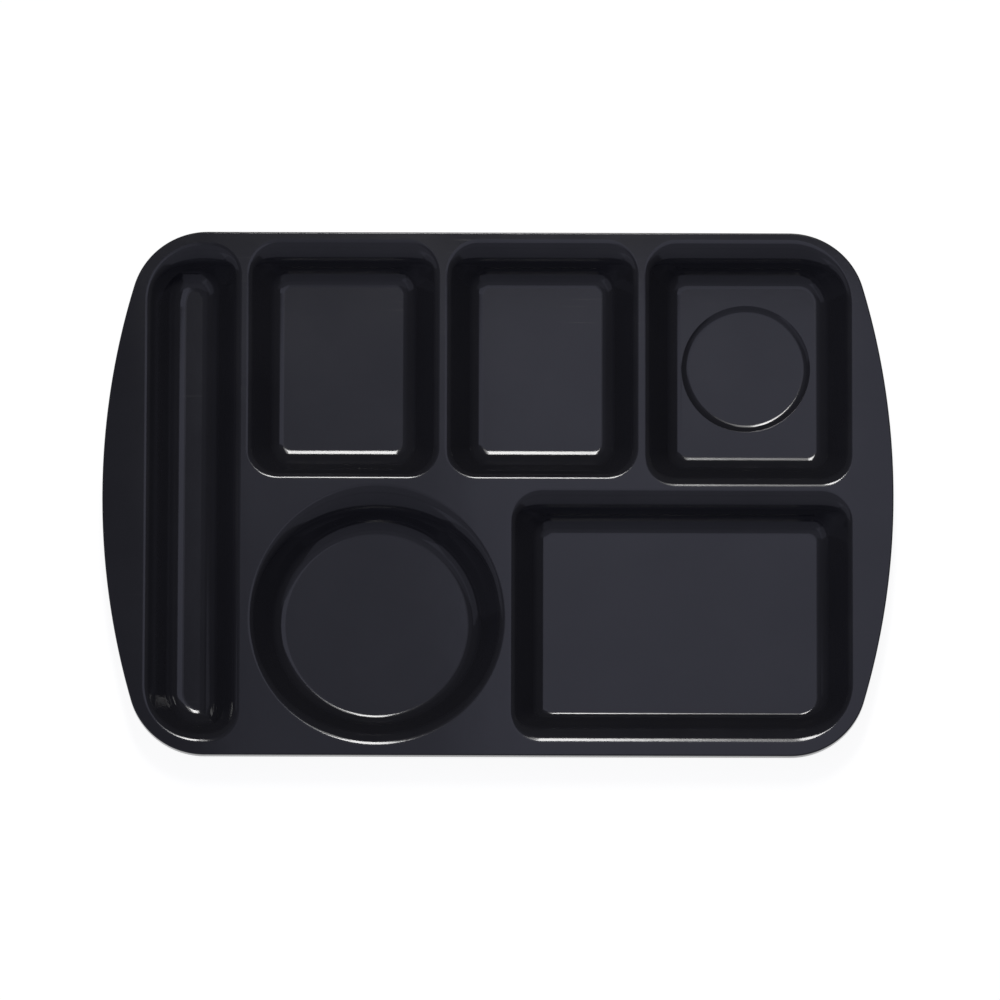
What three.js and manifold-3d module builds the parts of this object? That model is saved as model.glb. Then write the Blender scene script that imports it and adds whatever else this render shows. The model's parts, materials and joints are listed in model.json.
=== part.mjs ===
// A six-compartment serving tray, moulded in one piece from glossy black melamine.
// Lengths are in millimetres. +X runs along the tray to the right, +Y to its back and +Z up.
// The origin is on the table, under the middle of the tray.

import * as THREE from "three";
import { mergeVertices } from "three/addons/utils/BufferGeometryUtils.js";
import Module from "manifold-3d";

const wasm = await Module();
wasm.setup();

// The moulding as a whole: a sheet of even thickness with bowed short ends
const TRAY_LENGTH = 381;
const TRAY_WIDTH = 256;
const TRAY_HEIGHT = 23;
const SKIN = 3;
const CORNER_RADIUS = 37;
const END_RADIUS = 360;

// The rim, turned down round the whole edge
const RIM_WIDTH = 2.5;
const RIM_ROUND = 1;
const RIM_DROP = 7;

// The grips, which droop from a line just outside the compartments
const GRIP_ROOT = 172.5;
const GRIP_CURVE = 180;

// The compartment walls: their slope, the fillet at the deck and the height where a well meets the deck
const WALL_ANGLE = THREE.MathUtils.degToRad(78);
const EDGE_FILLET = 9.5;
const WELL_TOP = 13;

// The compartments, measured where the deck starts to round over into the wall
const BACK_EDGE = 123.5;
const FRONT_EDGE = -122.5;
const SMALL_CORNER = 15.5;
const TROUGH_CORNER = 28;
const OUTER_CORNER = 30;
const TROUGH = { left: -171.25, right: -123.25, front: -122.5, back: 122.75 };
const BACK_LEFT = { left: -122.25, right: -27.5, front: 5.75, back: BACK_EDGE };
const BACK_MIDDLE = { left: -26.25, right: 68.5, front: 5.75, back: BACK_EDGE };
const BEVERAGE = { left: 69.5, right: 171.75, front: 2.75, back: BACK_EDGE };
const MAIN = { left: 5, right: 171.75, front: FRONT_EDGE, back: 2.25 };
const BOWL = { x: -58.25, y: -61.25, radius: 62.6 };

// The corners next to the tray's own corners are larger; each list runs back right, back left,
// front left, front right
const TROUGH_CORNERS = [SMALL_CORNER, TROUGH_CORNER, TROUGH_CORNER, SMALL_CORNER];
const PLAIN_CORNERS = [SMALL_CORNER, SMALL_CORNER, SMALL_CORNER, SMALL_CORNER];
const BEVERAGE_CORNERS = [OUTER_CORNER, SMALL_CORNER, SMALL_CORNER, SMALL_CORNER];
const MAIN_CORNERS = [SMALL_CORNER, SMALL_CORNER, SMALL_CORNER, OUTER_CORNER];

// At the floor: the fillet at the foot of the walls and the share of a corner's radius that is left there.
// The trough's walls run into a rounded gutter instead.
const PLAIN_FLOOR = { fillet: 8.5, cornerShare: 0.25 };
const GUTTER_FLOOR = { fillet: 10, cornerShare: 0.1 };

// The cup recess in the floor of the beverage compartment, a little behind its middle
const CUP = { x: 119.75, y: 65 };
const CUP_TOP_RADIUS = 31.2;
const CUP_FLOOR_RADIUS = 28.2;
const CUP_DEPTH = 0.7;

// The stacking lugs under the deck
const LUG_RADIUS = 3;
const LUG_FOOT_RADIUS = 2.4;
const LUG_HEIGHT = 4.5;
const LUG_BACK_INSET = 4.8;
const LUG_FRONT_INSET = 9;
const LUG_SIDE_INSET = 7.5;

// How finely the curves are stepped, and the hairline between the rim and what it frames
const FILLET_STEPS = 4;
const CORNER_STEPS = 6;
const END_STEPS = 10;
const BOWL_STEPS = 40;
const SEAM = 0.02;
const MERGE_DISTANCE = 1e-4;

const DECK_UNDERSIDE = TRAY_HEIGHT - SKIN;

// Points along an arc, both ends included
function arc(centreX, centreY, radius, from, to, steps) {
  const curve = new THREE.EllipseCurve(centreX, centreY, radius, radius, from, to, to < from);
  return curve.getPoints(steps);
}

// The outline of the tray at a given inset: straight long sides, corner arcs and bowed ends, all tangent
function trayOutline(inset) {
  const cornerY = TRAY_WIDTH / 2 - CORNER_RADIUS;
  const endX = TRAY_LENGTH / 2 - END_RADIUS;
  const turn = Math.asin(cornerY / (END_RADIUS - CORNER_RADIUS));
  const cornerX = endX + (END_RADIUS - CORNER_RADIUS) * Math.cos(turn);
  const end = arc(endX, 0, END_RADIUS - inset, -turn, turn, END_STEPS);
  const corner = arc(cornerX, cornerY, CORNER_RADIUS - inset, turn, Math.PI / 2, CORNER_STEPS);
  const backRight = corner.slice(1);
  const backLeft = corner.map((p) => new THREE.Vector2(-p.x, p.y)).reverse().slice(0, -1);
  const left = end.map((p) => new THREE.Vector2(-p.x, -p.y));
  const frontLeft = corner.map((p) => new THREE.Vector2(-p.x, -p.y)).slice(1);
  const frontRight = corner.map((p) => new THREE.Vector2(p.x, -p.y)).reverse().slice(0, -1);
  return [...end, ...backRight, ...backLeft, ...left, ...frontLeft, ...frontRight];
}

// How far a wall reaches inwards between the deck and the floor
function wallRun(floor) {
  const slope = (TRAY_HEIGHT - SKIN) / Math.tan(WALL_ANGLE);
  return slope + (EDGE_FILLET + floor.fillet) * Math.tan(WALL_ANGLE / 2);
}

// The outline of a four-sided compartment at a given inset; its corners tighten towards the floor
function boxOutline(sides, corners, floor) {
  return (inset) => {
    const share = 1 - (1 - floor.cornerShare) * inset / wallRun(floor);
    const points = [];
    corners.forEach((topRadius, i) => {
      const radius = topRadius * share;
      const toRight = i === 0 || i === 3;
      const toBack = i < 2;
      const x = toRight ? sides.right - inset - radius : sides.left + inset + radius;
      const y = toBack ? sides.back - inset - radius : sides.front + inset + radius;
      points.push(...arc(x, y, radius, i * Math.PI / 2, (i + 1) * Math.PI / 2, CORNER_STEPS));
    });
    return points;
  };
}

// The outline of a round compartment or recess at a given inset
function roundOutline(x, y, radius) {
  return (inset) => arc(x, y, radius - inset, 0, 2 * Math.PI, BOWL_STEPS).slice(0, -1);
}

// A wall from the deck to the floor: a convex fillet, a straight slope and a concave fillet.
// The depth below the food side is 0 for the food side itself and the skin for the underside.
function wallCurve(floor, depthBelow) {
  const curve = [];
  for (let i = 0; i <= FILLET_STEPS; i++) {
    const angle = WALL_ANGLE * i / FILLET_STEPS;
    const radius = EDGE_FILLET - depthBelow;
    const centreZ = TRAY_HEIGHT - EDGE_FILLET;
    curve.push(new THREE.Vector2(radius * Math.sin(angle), centreZ + radius * Math.cos(angle)));
  }
  for (let i = FILLET_STEPS; i >= 0; i--) {
    const angle = WALL_ANGLE * i / FILLET_STEPS;
    const radius = floor.fillet + depthBelow;
    const centreZ = SKIN + floor.fillet;
    curve.push(new THREE.Vector2(wallRun(floor) - radius * Math.sin(angle), centreZ - radius * Math.cos(angle)));
  }
  return curve;
}

// The point of a wall's straight slope at a given height
function slopePoint(curve, z) {
  const upper = curve[FILLET_STEPS];
  const lower = curve[FILLET_STEPS + 1];
  return upper.clone().lerp(lower, (upper.y - z) / (upper.y - lower.y)).setY(z);
}

// A ring of points at the inset and height of one point of a wall's curve
function ring(outline, place) {
  return outline(place.x).map((p) => new THREE.Vector3(p.x, p.y, place.y));
}

// A skin over a row of rings, either capped at its first and last ring or closed from the last to the first
function loft(rings, closed = false) {
  const count = rings[0].length;
  const positions = rings.flat().flatMap((p) => [p.x, p.y, p.z]);
  const index = [];
  const bands = closed ? rings.length : rings.length - 1;
  for (let i = 0; i < bands; i++) {
    const lower = i * count;
    const upper = ((i + 1) % rings.length) * count;
    for (let j = 0; j < count; j++) {
      const next = (j + 1) % count;
      index.push(lower + j, lower + next, upper + next);
      index.push(lower + j, upper + next, upper + j);
    }
  }
  if (!closed) {
    const last = (rings.length - 1) * count;
    THREE.ShapeUtils.triangulateShape(rings[0], []).forEach(([a, b, c]) => index.push(c, b, a));
    THREE.ShapeUtils.triangulateShape(rings[rings.length - 1], []).forEach(([a, b, c]) => {
      index.push(last + a, last + b, last + c);
    });
  }
  const geometry = new THREE.BufferGeometry();
  geometry.setAttribute("position", new THREE.Float32BufferAttribute(positions, 3));
  geometry.setIndex(index);
  return geometry;
}

// A geometry as a solid that can be joined and cut
function solid(geometry) {
  const bare = geometry.clone();
  bare.deleteAttribute("normal");
  bare.deleteAttribute("uv");
  const merged = mergeVertices(bare, MERGE_DISTANCE);
  const mesh = new wasm.Mesh({
    numProp: 3,
    vertProperties: new Float32Array(merged.attributes.position.array),
    triVerts: new Uint32Array(merged.index.array),
  });
  return new wasm.Manifold(mesh);
}

// A solid as a geometry
function surface(body) {
  const mesh = body.getMesh();
  const geometry = new THREE.BufferGeometry();
  geometry.setAttribute("position", new THREE.BufferAttribute(mesh.vertProperties, 3));
  geometry.setIndex(new THREE.BufferAttribute(mesh.triVerts, 1));
  return geometry;
}

// How far the tray's ends hang below the deck
function droop(x) {
  const beyond = Math.max(Math.abs(x) - GRIP_ROOT, 0);
  return beyond * beyond / (2 * GRIP_CURVE);
}

// A compartment: its outline and the curves of its wall on the food side and underneath
function compartment(outline, floor = PLAIN_FLOOR) {
  return { outline, foodSide: wallCurve(floor, 0), underside: wallCurve(floor, SKIN) };
}

const wells = {
  cutlery_trough: compartment(boxOutline(TROUGH, TROUGH_CORNERS, GUTTER_FLOOR), GUTTER_FLOOR),
  back_left_well: compartment(boxOutline(BACK_LEFT, PLAIN_CORNERS, PLAIN_FLOOR)),
  back_middle_well: compartment(boxOutline(BACK_MIDDLE, PLAIN_CORNERS, PLAIN_FLOOR)),
  beverage_well: compartment(boxOutline(BEVERAGE, BEVERAGE_CORNERS, PLAIN_FLOOR)),
  bowl_well: compartment(roundOutline(BOWL.x, BOWL.y, BOWL.radius)),
  main_well: compartment(boxOutline(MAIN, MAIN_CORNERS, PLAIN_FLOOR)),
};

// A compartment below the deck: up its underside, over its top edge and down to its floor
function wellBody({ outline, foodSide, underside }) {
  const outer = [...underside.slice(FILLET_STEPS + 1).reverse(), slopePoint(underside, WELL_TOP)];
  const inner = [slopePoint(foodSide, WELL_TOP), ...foodSide.slice(FILLET_STEPS + 1)];
  return loft([...outer, ...inner].map((place) => ring(outline, place)));
}

// The part of a wall that belongs to the deck, as a solid plug
function collar({ outline, underside }) {
  const places = [slopePoint(underside, WELL_TOP), ...underside.slice(0, FILLET_STEPS + 1).reverse()];
  places.push(new THREE.Vector2(0, TRAY_HEIGHT - SKIN / 3));
  return solid(loft(places.map((place) => ring(outline, place))));
}

// The hollow of a compartment where it passes through the deck
function mouth({ outline, foodSide }) {
  const places = [slopePoint(foodSide, WELL_TOP - SKIN), ...foodSide.slice(0, FILLET_STEPS + 1).reverse()];
  places.push(new THREE.Vector2(0, TRAY_HEIGHT + SKIN));
  return solid(loft(places.map((place) => ring(outline, place))));
}

// The space inside the rim
const insideRim = new THREE.ExtrudeGeometry(new THREE.Shape(trayOutline(RIM_WIDTH + SEAM)), {
  depth: 2 * TRAY_HEIGHT,
  bevelEnabled: false,
});
const field = solid(insideRim);

// The deck: a flat sheet between the grips, pierced by the compartments and turned down into their walls
function deck() {
  const sheet = new THREE.BoxGeometry(2 * GRIP_ROOT, TRAY_WIDTH, SKIN);
  sheet.translate(0, 0, TRAY_HEIGHT - SKIN / 2);
  let body = solid(sheet).intersect(field);
  Object.values(wells).forEach((well) => {
    body = body.add(collar(well));
  });
  Object.values(wells).forEach((well) => {
    body = body.subtract(mouth(well));
  });
  return surface(body);
}

// A grip: the sheet carried on past the deck in a gentle downward curve
function grip() {
  const top = [];
  for (let i = 0; i <= CORNER_STEPS; i++) {
    const x = GRIP_ROOT + (TRAY_LENGTH / 2 - GRIP_ROOT) * i / CORNER_STEPS;
    top.push(new THREE.Vector2(x, TRAY_HEIGHT - droop(x)));
  }
  const bottom = top.map((p) => new THREE.Vector2(p.x, p.y - SKIN)).reverse();
  const section = new THREE.ExtrudeGeometry(new THREE.Shape([...top, ...bottom]), {
    depth: TRAY_WIDTH,
    bevelEnabled: false,
  });
  section.rotateX(Math.PI / 2);
  section.translate(0, TRAY_WIDTH / 2, 0);
  return surface(solid(section).intersect(field));
}

// The rim: flush with the deck, rounded over at its shoulder, straight down outside and rounded at its foot
function rim() {
  const half = RIM_WIDTH / 2;
  const foot = arc(half, TRAY_HEIGHT - RIM_DROP + half, half, 0, -Math.PI, 2 * FILLET_STEPS);
  const shoulder = arc(RIM_ROUND, TRAY_HEIGHT - RIM_ROUND, RIM_ROUND, Math.PI, Math.PI / 2, FILLET_STEPS);
  const top = new THREE.Vector2(RIM_WIDTH, TRAY_HEIGHT);
  const rings = [...foot, ...shoulder, top].map((place) => {
    return trayOutline(place.x).map((p) => new THREE.Vector3(p.x, p.y, place.y - droop(p.x)));
  });
  return loft(rings, true);
}

// The beverage compartment has a shallow round recess for a cup, with a softly stepped edge
function beverageWell() {
  const outline = roundOutline(CUP.x, CUP.y, CUP_TOP_RADIUS);
  const places = [];
  for (let i = 0; i <= FILLET_STEPS + 1; i++) {
    const share = i / (FILLET_STEPS + 1);
    const inset = (CUP_TOP_RADIUS - CUP_FLOOR_RADIUS) * (1 - share);
    places.push(new THREE.Vector2(inset, SKIN - CUP_DEPTH * (1 + Math.cos(Math.PI * share)) / 2));
  }
  places.push(new THREE.Vector2(0, 2 * SKIN));
  const recess = solid(loft(places.map((place) => ring(outline, place))));
  return surface(solid(wellBody(wells.beverage_well)).subtract(recess));
}

// A stacking lug: a short tapered peg under the deck
function lug(x, y) {
  const peg = new THREE.CylinderGeometry(LUG_RADIUS, LUG_FOOT_RADIUS, LUG_HEIGHT, 4 * CORNER_STEPS);
  peg.rotateX(Math.PI / 2);
  peg.translate(x, y, DECK_UNDERSIDE - LUG_HEIGHT / 2);
  return peg;
}

const melamine = new THREE.MeshStandardMaterial({ color: 0x16161a, roughness: 0.22, metalness: 0 });
const tray = new THREE.Group();
tray.name = "compartment_tray";

function place(name, geometry) {
  const mesh = new THREE.Mesh(geometry, melamine);
  mesh.name = name;
  tray.add(mesh);
}

place("deck", deck());
place("rim", rim());
place("right_grip", grip());
place("left_grip", grip().rotateZ(Math.PI));
Object.entries(wells).forEach(([name, well]) => {
  place(name, name === "beverage_well" ? beverageWell() : wellBody(well));
});

// The lugs sit under the wide spots of the deck, between the compartments' rounded corners
const betweenTroughAndBack = (TROUGH.right + BACK_LEFT.left) / 2;
const betweenMiddleAndBeverage = (BACK_MIDDLE.right + BEVERAGE.left) / 2;
place("lug_back_left", lug(betweenTroughAndBack, BACK_EDGE - LUG_BACK_INSET));
place("lug_back_right", lug(betweenMiddleAndBeverage, BACK_EDGE - LUG_BACK_INSET));
place("lug_front_left", lug(TROUGH.right + LUG_SIDE_INSET, FRONT_EDGE + LUG_FRONT_INSET));
place("lug_front_right", lug(MAIN.left - LUG_SIDE_INSET, FRONT_EDGE + LUG_FRONT_INSET));

export default tray;
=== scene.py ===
# A six-compartment serving tray, pressed in one shot from glossy black melamine, on a white table.
# Lengths are in metres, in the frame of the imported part: +X to the tray's right, +Y to its back, +Z up.

import json
import math

import bmesh
import bpy
from mathutils import Matrix, Vector


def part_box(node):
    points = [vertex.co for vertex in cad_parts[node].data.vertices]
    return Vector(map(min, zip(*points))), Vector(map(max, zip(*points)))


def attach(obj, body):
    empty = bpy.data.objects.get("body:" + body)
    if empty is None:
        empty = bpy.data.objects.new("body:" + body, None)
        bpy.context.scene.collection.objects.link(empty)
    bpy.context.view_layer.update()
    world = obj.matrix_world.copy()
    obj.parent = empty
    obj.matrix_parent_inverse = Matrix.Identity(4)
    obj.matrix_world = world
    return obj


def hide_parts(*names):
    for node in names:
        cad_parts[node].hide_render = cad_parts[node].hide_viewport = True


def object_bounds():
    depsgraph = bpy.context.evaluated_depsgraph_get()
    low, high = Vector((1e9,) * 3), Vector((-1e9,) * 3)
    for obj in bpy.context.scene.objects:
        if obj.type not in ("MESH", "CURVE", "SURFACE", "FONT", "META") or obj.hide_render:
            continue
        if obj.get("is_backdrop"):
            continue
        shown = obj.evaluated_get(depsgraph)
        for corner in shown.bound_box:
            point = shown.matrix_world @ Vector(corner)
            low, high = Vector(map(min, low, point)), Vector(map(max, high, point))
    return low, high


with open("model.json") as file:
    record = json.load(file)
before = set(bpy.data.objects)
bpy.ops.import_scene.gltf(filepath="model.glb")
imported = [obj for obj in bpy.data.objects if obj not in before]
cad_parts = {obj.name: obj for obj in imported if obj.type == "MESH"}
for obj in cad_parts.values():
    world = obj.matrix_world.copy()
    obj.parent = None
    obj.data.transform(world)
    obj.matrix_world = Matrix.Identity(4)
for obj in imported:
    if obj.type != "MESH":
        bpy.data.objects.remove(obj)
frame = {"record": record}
cad_low, cad_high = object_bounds()


# The compartments: five four-sided pans and a round one, whose sloping walls run in fillets into the
# deck above and the floor below. They are melamine of one even thickness, formed by the press
# together with the deck, so they meet it in the slope of the wall without a seam.

MM = 0.001
SKIN = 3 * MM
TRAY_TOP = cad_high.z
WELL_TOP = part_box("main_well")[1].z
FILLET_STEPS = 14
CORNER_STEPS = 32
SHARP_ANGLE = math.radians(40)
SAME_HEIGHT = 0.01 * MM

# The level strip beside a fillet that keeps a flat face's shading flat, and what is left straight between
# the corners of the bowl's outline
FLANGE = 0.2 * MM
CORNER_GAP = 0.01 * MM


def wall_form(slope, edge, foot):
    """A wall's slope in degrees, and its fillets' radii at the deck and at the floor in millimetres."""
    return {"angle": math.radians(slope), "edge": edge * MM, "foot": foot * MM}


# The far walls are steep and the others slanted, and their fillets draw broad or fine lines of light
FAR = wall_form(78, 9.5, 8.5)
FAR_BACK = wall_form(78, 10.8, 8.5)
FAR_BOWL = wall_form(72, 13, 8.5)
SIDE = wall_form(60, 3.5, 8)
NEAR_BACK = wall_form(66.5, 3.2, 10.5)
NEAR_BEVERAGE = wall_form(64.5, 6, 8)
NEAR_MAIN = wall_form(64.5, 10.5, 3.5)
NEAR_BOWL = wall_form(64.5, 8.5, 6)
GUTTER_END = wall_form(78, 9.5, 10)
GUTTER_NEAR = wall_form(64.5, 6, 10)
GUTTER_SIDE = wall_form(60, 3.5, 10)

# Each compartment's far, side and near walls and the even wall of the CAD, the radii of its corners at the
# deck, from the back right one round by the left, and their share at the floor; the bowl is all corner
SMALL, TROUGH_END, OUTER = 15.5 * MM, 28 * MM, 30 * MM
FLOOR_SHARE, TROUGH_SHARE = 0.25, 0.3
COMPARTMENTS = {
    "cutlery_trough": {"far": GUTTER_END, "side": GUTTER_SIDE, "near": GUTTER_NEAR, "cad": GUTTER_END,
                       "corners": (SMALL, TROUGH_END, TROUGH_END, SMALL), "share": TROUGH_SHARE},
    "back_left_well": {"far": FAR_BACK, "side": SIDE, "near": NEAR_BACK, "cad": FAR,
                       "corners": (SMALL, SMALL, SMALL, SMALL), "share": FLOOR_SHARE},
    "back_middle_well": {"far": FAR_BACK, "side": SIDE, "near": NEAR_BACK, "cad": FAR,
                         "corners": (SMALL, SMALL, SMALL, SMALL), "share": FLOOR_SHARE},
    "beverage_well": {"far": FAR_BACK, "side": SIDE, "near": NEAR_BEVERAGE, "cad": FAR,
                      "corners": (OUTER, SMALL, SMALL, SMALL), "share": FLOOR_SHARE},
    "bowl_well": {"far": FAR_BOWL, "side": SIDE, "near": NEAR_BOWL, "cad": FAR, "corners": None},
    "main_well": {"far": FAR, "side": SIDE, "near": NEAR_MAIN, "cad": FAR,
                  "corners": (SMALL, SMALL, SMALL, OUTER), "share": FLOOR_SHARE},
}


class Wire:
    """One socket among a material's nodes. Sums of wires add Math nodes, and node() adds any other node."""

    def __init__(self, tree, socket=None):
        self.tree = tree
        self.socket = socket

    def node(self, kind, settings=None, sockets=None, output=0):
        made = self.tree.nodes.new("ShaderNode" + kind)
        for name, setting in (settings or {}).items():
            setattr(made, name, setting)
        for name, value in (sockets or {}).items():
            if isinstance(value, Wire):
                self.tree.links.new(value.socket, made.inputs[name])
            else:
                made.inputs[name].default_value = value
        return Wire(self.tree, made.outputs[output])

    def math(self, operation, first, second):
        return self.node("Math", {"operation": operation}, {0: first, 1: second})

    def __add__(self, other):
        return self.math("ADD", self, other)

    def __radd__(self, other):
        return self.math("ADD", other, self)

    def __sub__(self, other):
        return self.math("SUBTRACT", self, other)

    def __rsub__(self, other):
        return self.math("SUBTRACT", other, self)

    def __mul__(self, other):
        return self.math("MULTIPLY", self, other)

    def __rmul__(self, other):
        return self.math("MULTIPLY", other, self)

    def rise(self, low, high):
        """0 below low, 1 above high and a smooth step between them; it falls where low is the larger."""
        settings = {"interpolation_type": "SMOOTHSTEP"}
        return self.node("MapRange", settings, {"Value": self, "From Min": low, "From Max": high})

    def blend(self, first, second):
        """A colour that passes from the first to the second where this wire goes from 0 to 1."""
        # A Mix node's colours come by number, after sockets of the same names for numbers and vectors
        return self.node("Mix", {"data_type": "RGBA"}, {0: self, 6: first, 7: second}, output=2)


def black_melamine():
    """Glossy black melamine: faint clouds from the resin's flow, hairline scuffs, duller rubbed edges."""
    material = bpy.data.materials.new("black_melamine")
    material.use_nodes = True
    tree = material.node_tree
    shader = tree.nodes["Principled BSDF"]
    start = Wire(tree)
    place = start.node("TexCoord", output="Object")
    facing = start.node("NewGeometry", output="Normal")
    up = start.node("SeparateXYZ", sockets={0: facing}, output="Z")
    height = start.node("SeparateXYZ", sockets={0: place}, output="Z")

    clouds = start.node("TexNoise", sockets={"Vector": place, "Scale": 22, "Detail": 3})
    grain = start.node("TexNoise", sockets={"Vector": place, "Scale": 1400, "Detail": 2})

    # Hairline scuffs from cutlery and from wiping, in two directions, here and there on faces that look up
    scuffs = 0
    for turn, offset in ((0.35, 0.0), (-1.05, 3.7)):
        lie = {"Location": (offset, 0, 0), "Rotation": (0, 0, turn), "Scale": (14, 900, 14)}
        stretched = start.node("Mapping", {"vector_type": "POINT"}, {"Vector": place, **lie})
        hairs = start.node("TexNoise", sockets={"Vector": stretched, "Scale": 1, "Detail": 1})
        scuffs = scuffs + hairs.rise(0.68, 0.76)
    patches = start.node("TexNoise", sockets={"Vector": place, "Scale": 35, "Detail": 2}).rise(0.45, 0.7)
    scuffed = scuffs * patches * up.rise(0.8, 0.97)

    # The rounded edges near the top are rubbed by stacking, and the underside is left as the press gives it
    rubbed = height.rise(TRAY_TOP - 4 * MM, TRAY_TOP - 1 * MM) * up.rise(0.99, 0.9) * up.rise(0.35, 0.6)
    rubbed = rubbed * clouds.rise(0.35, 0.65)
    below = up.rise(0.1, -0.3)

    colour = clouds.rise(0.3, 0.75).blend((0.0260, 0.0260, 0.0315, 1), (0.0300, 0.0300, 0.0360, 1))
    worn = (rubbed * 0.5 + scuffed * 0.12).blend(colour, (0.038, 0.038, 0.043, 1))
    tree.links.new(worn.socket, shader.inputs["Base Color"])

    roughness = 0.07 + clouds * 0.03 + grain * 0.02 + scuffed * 0.05 + rubbed * 0.05 + below * 0.15
    tree.links.new(roughness.socket, shader.inputs["Roughness"])
    shader.inputs["IOR"].default_value = 1.5

    # The press leaves a soft waviness and a very fine peel in the gloss
    waves = start.node("TexNoise", sockets={"Vector": place, "Scale": 60, "Detail": 1})
    peel = start.node("TexNoise", sockets={"Vector": place, "Scale": 420, "Detail": 1})
    relief = waves * 0.6 + peel * 0.1 - scuffed * 0.01
    bump = start.node("Bump", sockets={"Strength": 0.05, "Distance": 1 * MM, "Height": relief})
    tree.links.new(bump.socket, shader.inputs["Normal"])
    return material


melamine = black_melamine()


def wall_run(wall):
    """How far a wall reaches outwards between the floor and the deck."""
    slope = (TRAY_TOP - SKIN) / math.tan(wall["angle"])
    return slope + (wall["edge"] + wall["foot"]) * math.tan(wall["angle"] / 2)


def wall_curves(wall, depth_below):
    """A wall's upper and lower fillets at a depth below its food side, as reaches outwards and heights."""
    turns = [wall["angle"] * i / FILLET_STEPS for i in range(FILLET_STEPS + 1)]
    convex, concave = wall["edge"] - depth_below, wall["foot"] + depth_below
    upper_z, lower_z = TRAY_TOP - wall["edge"], SKIN + wall["foot"]
    run = wall_run(wall)
    upper = [(run - convex * math.sin(turn), upper_z + convex * math.cos(turn)) for turn in turns]
    lower = [(concave * math.sin(turn), lower_z - concave * math.cos(turn)) for turn in reversed(turns)]
    return upper, lower


def slope_place(upper, lower):
    """The reach and height where a wall passes from the deck to the pan."""
    (high_reach, high_z), (low_reach, low_z) = upper[-1], lower[0]
    share = (high_z - WELL_TOP) / (high_z - low_z)
    return high_reach + share * (low_reach - high_reach), WELL_TOP


def pan_section(wall):
    """A pan's wall from its underside, over its top and down to its floor."""
    outer_upper, outer_lower = wall_curves(wall, SKIN)
    inner_upper, inner_lower = wall_curves(wall, 0)
    outside = [(-FLANGE, 0), *reversed(outer_lower), slope_place(outer_upper, outer_lower)]
    inside = [slope_place(inner_upper, inner_lower), *inner_lower, (-FLANGE, SKIN)]
    return outside + inside


def corners_at(name, reach, z):
    """The corner points, centres and radii of a compartment's outline at a reach from its floor's edge."""
    shape = COMPARTMENTS[name]
    low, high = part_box(name)
    # The CAD box ends at the outer upper edge of the pan
    outwards = reach - slope_place(*wall_curves(shape["cad"], SKIN))[0]
    left, right, front, back = low.x - outwards, high.x + outwards, low.y - outwards, high.y + outwards
    if shape["corners"]:
        share = shape["share"] + (1 - shape["share"]) * reach / wall_run(shape["side"])
        radii = [radius * share for radius in shape["corners"]]
    else:
        radii = [(right - left) / 2 - CORNER_GAP] * 4
    points = (right, back, -1, -1), (left, back, 1, -1), (left, front, 1, 1), (right, front, -1, 1)
    return [(Vector((x, y, z)), Vector((x + to_x * radius, y + to_y * radius, z)), radius)
            for (x, y, to_x, to_y), radius in zip(points, radii)]


def compartment_wall(mesh, name, section):
    """Draws the sections of a compartment's walls round it, with corners that pass from one to the next."""
    shape = COMPARTMENTS[name]
    side, far, near = section(shape["side"]), section(shape["far"]), section(shape["near"])
    now = corners_at(name, *side[0])
    sharp = [mesh.verts.new(point) for point, centre, radius in now]
    mesh.faces.new(sharp)
    arcs = []
    for vert, (point, centre, radius) in zip(sharp, now):
        rounded = bmesh.ops.bevel(mesh, geom=[vert], affect="VERTICES", offset=radius, offset_type="OFFSET",
                                  segments=CORNER_STEPS, profile=0.5, material=-1)
        arcs.append(rounded["verts"])
    first = arcs[0][0].link_faces[0]
    ring = list(first.edges)
    bmesh.ops.delete(mesh, geom=[first], context="FACES_ONLY")

    # All rings are drawn by the side walls' section, and the far and near walls then move to their own
    moves = []
    for (reach, z), far_place, near_place in zip(side, far, near):
        if moves:
            drawn = bmesh.ops.extrude_edge_only(mesh, edges=ring)["geom"]
            fresh = {part for part in drawn if isinstance(part, bmesh.types.BMVert)}
            edges = [part for part in drawn if isinstance(part, bmesh.types.BMEdge)]
            ring = [edge for edge in edges if set(edge.verts) <= fresh]
            before, now = now, corners_at(name, reach, z)
            for i, arc in enumerate(arcs):
                beside = [[edge.other_vert(vert) for edge in vert.link_edges] for vert in arc]
                follow = [next(vert for vert in verts if vert in fresh) for verts in beside]
                (_, old_centre, old_radius), (_, centre, radius) = before[i], now[i]
                scale = Vector((radius / old_radius, radius / old_radius, 1))
                bmesh.ops.scale(mesh, vec=scale, space=Matrix.Translation(-old_centre), verts=follow)
                bmesh.ops.translate(mesh, vec=centre - old_centre, verts=follow)
                arcs[i] = follow
        ends = (far_place, far_place, near_place, near_place)
        for arc, (_, centre, radius), (end_reach, end_z) in zip(arcs, now, ends):
            for vert in arc:
                turned = (vert.co.y - centre.y) / radius
                out, up = turned * abs(turned) * (end_reach - reach), turned ** 2 * (end_z - z)
                moves.append((vert, Vector((0, out, up))))
    for vert, move in moves:
        vert.co += move


def open_edges(mesh, z):
    """The edges at one height that have a face on one side only."""
    level = [edge for edge in mesh.edges if all(abs(vert.co.z - z) < SAME_HEIGHT for vert in edge.verts)]
    return [edge for edge in level if edge.is_boundary]


def finish_piece(name, mesh, nodes):
    """Makes a closed mesh a smooth-shaded melamine piece that stands for its CAD nodes."""
    bmesh.ops.recalc_face_normals(mesh, faces=mesh.faces[:])
    data = bpy.data.meshes.new(name)
    mesh.to_mesh(data)
    mesh.free()
    data.shade_smooth()
    data.set_sharp_from_angle(angle=SHARP_ANGLE)
    data.materials.append(melamine)
    piece = bpy.data.objects.new(name, data)
    bpy.context.scene.collection.objects.link(piece)
    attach(piece, "root")
    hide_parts(*nodes)


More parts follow.
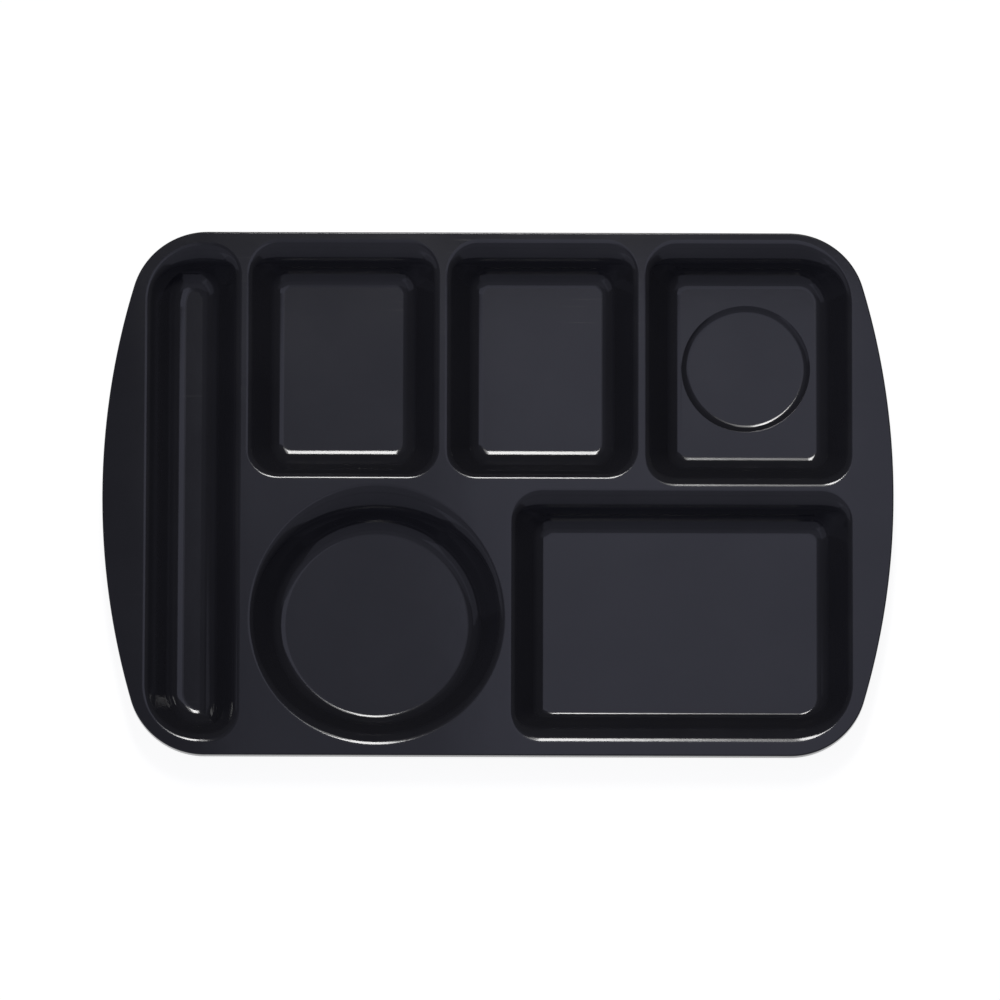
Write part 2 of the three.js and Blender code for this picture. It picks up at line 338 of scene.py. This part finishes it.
# The cup recess in the beverage compartment's floor: a shallow step with a crisp edge and a rounded foot
CUP_RADIUS = 31.2 * MM
CUP_DEPTH = 1.2 * MM
CUP_EDGE = 0.5 * MM
CUP_FOOT = 6.3 * MM
CUP_TURN = math.acos(1 - CUP_DEPTH / (CUP_EDGE + CUP_FOOT))
CUP_STEPS = 10
CUP_ROUND_STEPS = 160
MOUNTS = {mount["name"]: mount for mount in frame["record"]["mounts"]}
CUP_CENTRE = Vector(MOUNTS["cup_seat"]["pos_m"])


def cup_section():
    """The cup recess's step from the floor inwards as radii and heights, with a level strip at each end."""
    turns = [CUP_TURN * i / CUP_STEPS for i in range(CUP_STEPS + 1)]
    edge_z, foot_z = SKIN - CUP_EDGE, SKIN - CUP_DEPTH + CUP_FOOT
    foot_radius = CUP_RADIUS - (CUP_EDGE + CUP_FOOT) * math.sin(CUP_TURN)
    edge = [(CUP_RADIUS - CUP_EDGE * math.sin(turn), edge_z + CUP_EDGE * math.cos(turn)) for turn in turns]
    foot = [(foot_radius + CUP_FOOT * math.sin(turn), foot_z - CUP_FOOT * math.cos(turn)) for turn in turns]
    start, end = (CUP_RADIUS + FLANGE, SKIN), (foot_radius - FLANGE, SKIN - CUP_DEPTH)
    return [start, *edge, *reversed(foot[:-1]), end]


for name in COMPARTMENTS:
    mesh = bmesh.new()
    compartment_wall(mesh, name, pan_section)
    bmesh.ops.contextual_create(mesh, geom=open_edges(mesh, 0))
    if name == "beverage_well":
        verts = [mesh.verts.new((CUP_CENTRE.x + radius, CUP_CENTRE.y, z)) for radius, z in cup_section()]
        edges = [mesh.edges.new(pair) for pair in zip(verts, verts[1:])]
        bmesh.ops.spin(mesh, geom=verts + edges, cent=CUP_CENTRE, axis=(0, 0, 1), angle=2 * math.pi,
                       steps=CUP_ROUND_STEPS, use_merge=True)
        bmesh.ops.contextual_create(mesh, geom=open_edges(mesh, SKIN - CUP_DEPTH))
        bmesh.ops.triangle_fill(mesh, use_beauty=True, edges=open_edges(mesh, SKIN), normal=(0, 0, 1))
    else:
        bmesh.ops.contextual_create(mesh, geom=open_edges(mesh, SKIN))
    finish_piece(name + "_pan", mesh, [name])


# The deck: the sheet between the compartments, with grips that droop at both ends and a rim turned
# down all round. It is one sheet of melamine with the compartments' upper edges in it.

CORNER_RADIUS = 37 * MM
END_RADIUS = 360 * MM
RIM_WIDTH = 2.5 * MM
RIM_ROUND = 0.6 * MM
RIM_HOLLOW = 0.5 * MM
RIM_DROP = 7 * MM
RIM_STEPS = 8
END_STEPS = 24
GRIP_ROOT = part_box("deck")[1].x
GRIP_CURVE = 180 * MM
GRIP_CUTS = 10

# How near two vertices are merged, and how near a vertex counts as lying on a cut
SAME_PLACE = 1e-6
ON_PLANE = 1e-7


def mouth_section(wall):
    """The deck's part of a wall, from its upper face round the cut and back to its underside."""
    outer_upper, outer_lower = wall_curves(wall, SKIN)
    inner_upper, inner_lower = wall_curves(wall, 0)
    edge = wall_run(wall) + FLANGE
    top = [(edge, TRAY_TOP), *inner_upper, slope_place(inner_upper, inner_lower)]
    below = [slope_place(outer_upper, outer_lower), *reversed(outer_upper), (edge, TRAY_TOP - SKIN)]
    return top + below


def quarter_turn(inset, z, radius, start):
    """A quarter of a circle in the rim's section, from a start angle in quarters."""
    turns = [math.pi / 2 * (start + i / RIM_STEPS) for i in range(RIM_STEPS + 1)]
    return [(inset - radius * math.sin(turn), z + radius * math.cos(turn)) for turn in turns]


def rim_section():
    """The rim from the deck over its shoulder, round its foot and up inside to the deck's underside."""
    half = RIM_WIDTH / 2
    foot_z = TRAY_TOP - RIM_DROP + half
    hollow = RIM_WIDTH + RIM_HOLLOW
    shoulder = quarter_turn(RIM_ROUND, TRAY_TOP - RIM_ROUND, RIM_ROUND, 0)
    foot = quarter_turn(half, foot_z, half, 1) + quarter_turn(half, foot_z, half, 2)[1:]
    inside = reversed(quarter_turn(hollow, TRAY_TOP - SKIN - RIM_HOLLOW, RIM_HOLLOW, 0))
    start, end = (RIM_ROUND + FLANGE / 2, TRAY_TOP), (hollow + FLANGE / 2, TRAY_TOP - SKIN)
    return [start, *shoulder, *foot, *inside, end]


def droop(x):
    """How far the tray's ends hang below the deck."""
    return max(abs(x) - GRIP_ROOT, 0) ** 2 / (2 * GRIP_CURVE)


# A quarter of the rim: its section swept round half a bowed end and a corner, then along to the middle
mesh = bmesh.new()
corner_y = cad_high.y - CORNER_RADIUS
end_x = cad_high.x - END_RADIUS
end_turn = math.asin(corner_y / (END_RADIUS - CORNER_RADIUS))
corner_x = end_x + (END_RADIUS - CORNER_RADIUS) * math.cos(end_turn)
verts = [mesh.verts.new((cad_high.x - inset, 0, z)) for inset, z in rim_section()]
edges = [mesh.edges.new(pair) for pair in zip(verts, verts[1:])]
swept = bmesh.ops.spin(mesh, geom=verts + edges, cent=(end_x, 0, 0), axis=(0, 0, 1), angle=end_turn,
                       steps=END_STEPS)["geom_last"]
swept = bmesh.ops.spin(mesh, geom=swept, cent=(corner_x, corner_y, 0), axis=(0, 0, 1),
                       angle=math.pi / 2 - end_turn, steps=CORNER_STEPS)["geom_last"]
last = [part for part in swept if isinstance(part, bmesh.types.BMEdge)]
for part in bmesh.ops.extrude_edge_only(mesh, edges=last)["geom"]:
    if isinstance(part, bmesh.types.BMVert):
        part.co.x = 0
for axis in "XY":
    geom = mesh.verts[:] + mesh.edges[:] + mesh.faces[:]
    bmesh.ops.mirror(mesh, geom=geom, matrix=Matrix.Identity(4), merge_dist=SAME_PLACE, axis=axis)

for name in COMPARTMENTS:
    compartment_wall(mesh, name, mouth_section)
for z in (TRAY_TOP, TRAY_TOP - SKIN):
    bmesh.ops.triangle_fill(mesh, use_beauty=True, edges=open_edges(mesh, z), normal=(0, 0, 1))

# The grips are cut into strips across the tray and bent down from their root
for i in range(GRIP_CUTS):
    x = GRIP_ROOT + (cad_high.x - GRIP_ROOT) * i / GRIP_CUTS
    for side in (-1, 1):
        geom = mesh.verts[:] + mesh.edges[:] + mesh.faces[:]
        bmesh.ops.bisect_plane(mesh, geom=geom, dist=ON_PLANE, plane_co=(side * x, 0, 0),
                               plane_no=(1, 0, 0))
for vert in mesh.verts:
    vert.co.z -= droop(vert.co.x)
finish_piece("deck_sheet", mesh, ["deck", "rim", "left_grip", "right_grip"])


# The lugs: four short tapered pegs under the deck that keep stacked trays apart. They are moulded
# with the deck, and their feet are rounded so that they come out of the press.

LUG_STEPS = 48
LUG_ROUND = 0.8 * MM
LUG_ROUND_STEPS = 5
LUG_TAPER = 0.8

for name in ("lug_back_left", "lug_back_right", "lug_front_left", "lug_front_right"):
    low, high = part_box(name)
    root = (high.x - low.x) / 2
    mesh = bmesh.new()
    place = Matrix.Translation((low + high) / 2)
    bmesh.ops.create_cone(mesh, cap_ends=True, cap_tris=False, segments=LUG_STEPS, radius1=root * LUG_TAPER,
                          radius2=root, depth=high.z - low.z, matrix=place)
    foot = [edge for edge in mesh.edges if max(vert.co.z for vert in edge.verts) < low.z + SAME_HEIGHT]
    bmesh.ops.bevel(mesh, geom=foot, affect="EDGES", offset=LUG_ROUND, offset_type="OFFSET",
                    segments=LUG_ROUND_STEPS, profile=0.5, material=-1)
    finish_piece(name + "_peg", mesh, [name])


# The table and the light: a white table under a broad soft panel, stronger at its right and its back,
# among dim ceilings. Fills stand at the front and the left, and a narrow lamp high behind the tray draws
# the lines of light on the near edges. The table is lifted to white only for what is seen of it.

TABLE_SIZE = 30
TABLE_GAP = 0.1 * MM
TABLE_GLOW = 0.92

mesh = bmesh.new()
bmesh.ops.create_grid(mesh, x_segments=1, y_segments=1, size=TABLE_SIZE / 2,
                      matrix=Matrix.Translation((0, 0, -TABLE_GAP)))
data = bpy.data.meshes.new("table")
mesh.to_mesh(data)
mesh.free()
table = bpy.data.objects.new("table", data)
bpy.context.scene.collection.objects.link(table)
table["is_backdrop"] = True

white = bpy.data.materials.new("white_table")
white.use_nodes = True
tree = white.node_tree
tree.nodes.clear()
start = Wire(tree)
camera_ray = start.node("LightPath", output="Is Camera Ray")
glossy_ray = start.node("LightPath", output="Is Glossy Ray")
clear_ray = start.node("LightPath", output="Is Transmission Ray")
seen = start.math("MINIMUM", camera_ray + glossy_ray + clear_ray, 1)
lit = start.node("BsdfDiffuse", sockets={"Color": (0.8, 0.8, 0.8, 1)})
shaded = start.node("BsdfDiffuse", sockets={"Color": (0.3, 0.3, 0.3, 1)})
glow = start.node("Emission", sockets={"Color": (1, 1, 1, 1), "Strength": TABLE_GLOW})
lifted = start.node("AddShader", sockets={0: shaded, 1: glow})
surface = start.node("MixShader", sockets={0: seen, 1: lit, 2: lifted})
output = tree.nodes.new("ShaderNodeOutputMaterial")
tree.links.new(surface.socket, output.inputs["Surface"])
data.materials.append(white)

world = bpy.data.worlds.new("studio")
world.use_nodes = True
background = world.node_tree.nodes["Background"]
background.inputs["Color"].default_value = (0.95, 0.95, 1, 1)
background.inputs["Strength"].default_value = 0.03
bpy.context.scene.world = world


def panel(name, place, towards, width, height, radiance, colour):
    """A soft rectangular light that faces a point; its radiance is what a mirror would show of it."""
    light = bpy.data.lights.new(name, "AREA")
    light.shape = "RECTANGLE"
    light.size = width
    light.size_y = height
    # A panel's watts are four times its radiance by its area
    light.energy = 4 * radiance * width * height
    light.color = colour
    lamp = bpy.data.objects.new(name, light)
    lamp.location = place
    lamp.rotation_euler = (Vector(towards) - Vector(place)).to_track_quat("-Z", "Y").to_euler()
    lamp.visible_camera = False
    bpy.context.scene.collection.objects.link(lamp)


def level_panel(name, x, y, z, radiance, colour):
    """A soft light at one height that shines straight down, between two places in x and two in y."""
    (left, right), (front, back) = x, y
    middle_x, middle_y = (left + right) / 2, (front + back) / 2
    above, below = (middle_x, middle_y, z), (middle_x, middle_y, 0)
    panel(name, above, below, right - left, back - front, radiance, colour)


COOL = (0.75, 0.77, 1)
PLAIN_WHITE = (1, 0.99, 0.98)
ORIGIN = (0, 0, 0)

level_panel("ceiling", x=(-0.8, 0.8), y=(-0.7, 0.9), z=1.35, radiance=0.06, colour=COOL)
level_panel("overhead_panel", x=(-0.165, 0.63), y=(0, 0.355), z=1.2, radiance=0.25, colour=COOL)
level_panel("overhead_right", x=(-0.02, 0.63), y=(0, 0.355), z=1.19, radiance=0.26, colour=COOL)
level_panel("overhead_back", x=(-0.165, 0.63), y=(0.205, 0.355), z=1.195, radiance=0.04, colour=COOL)
level_panel("front_ceiling", x=(-1.2, 1.2), y=(-0.66, 0), z=1.2, radiance=0.12, colour=COOL)
panel("front_fill", (0, -1.2, 0.75), ORIGIN, width=2.4, height=1.5, radiance=0.17, colour=COOL)
panel("left_fill", (-1.3, -0.5, 0.75), ORIGIN, width=1.4, height=1.5, radiance=0.18, colour=COOL)
level_panel("back_light", x=(-0.19, 0.11), y=(0.78, 1.56), z=2.4, radiance=17.5, colour=PLAIN_WHITE)
level_panel("back_light_right", x=(0.11, 0.33), y=(0.78, 1.56), z=2.4, radiance=3, colour=PLAIN_WHITE)


# The camera: nearly straight above the tray, tipped 10.5 degrees towards the front. It stands well back
# behind a long lens, so that the near and far edges show at nearly one scale.

CAMERA_ELEVATION = math.radians(79.5)
CAMERA_DISTANCE = 5.6
CAMERA_ROLL = 0.0028
FRAME_WIDTH = 0.48125
SENSOR = 36
AIM = Vector((1 * MM, -3.55 * MM, TRAY_TOP))

camera = bpy.data.cameras.new("camera")
camera.sensor_width = SENSOR
camera.lens = SENSOR * CAMERA_DISTANCE / FRAME_WIDTH
viewer = bpy.data.objects.new("camera", camera)
backwards = Vector((0, -math.cos(CAMERA_ELEVATION), math.sin(CAMERA_ELEVATION)))
viewer.location = AIM + CAMERA_DISTANCE * backwards
viewer.rotation_euler = (Matrix.Rotation(math.pi / 2 - CAMERA_ELEVATION, 3, "X")
                         @ Matrix.Rotation(CAMERA_ROLL, 3, "Z")).to_euler()
bpy.context.scene.collection.objects.link(viewer)
bpy.context.scene.camera = viewer
bpy.context.scene.view_settings.view_transform = "Standard"

low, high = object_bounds()
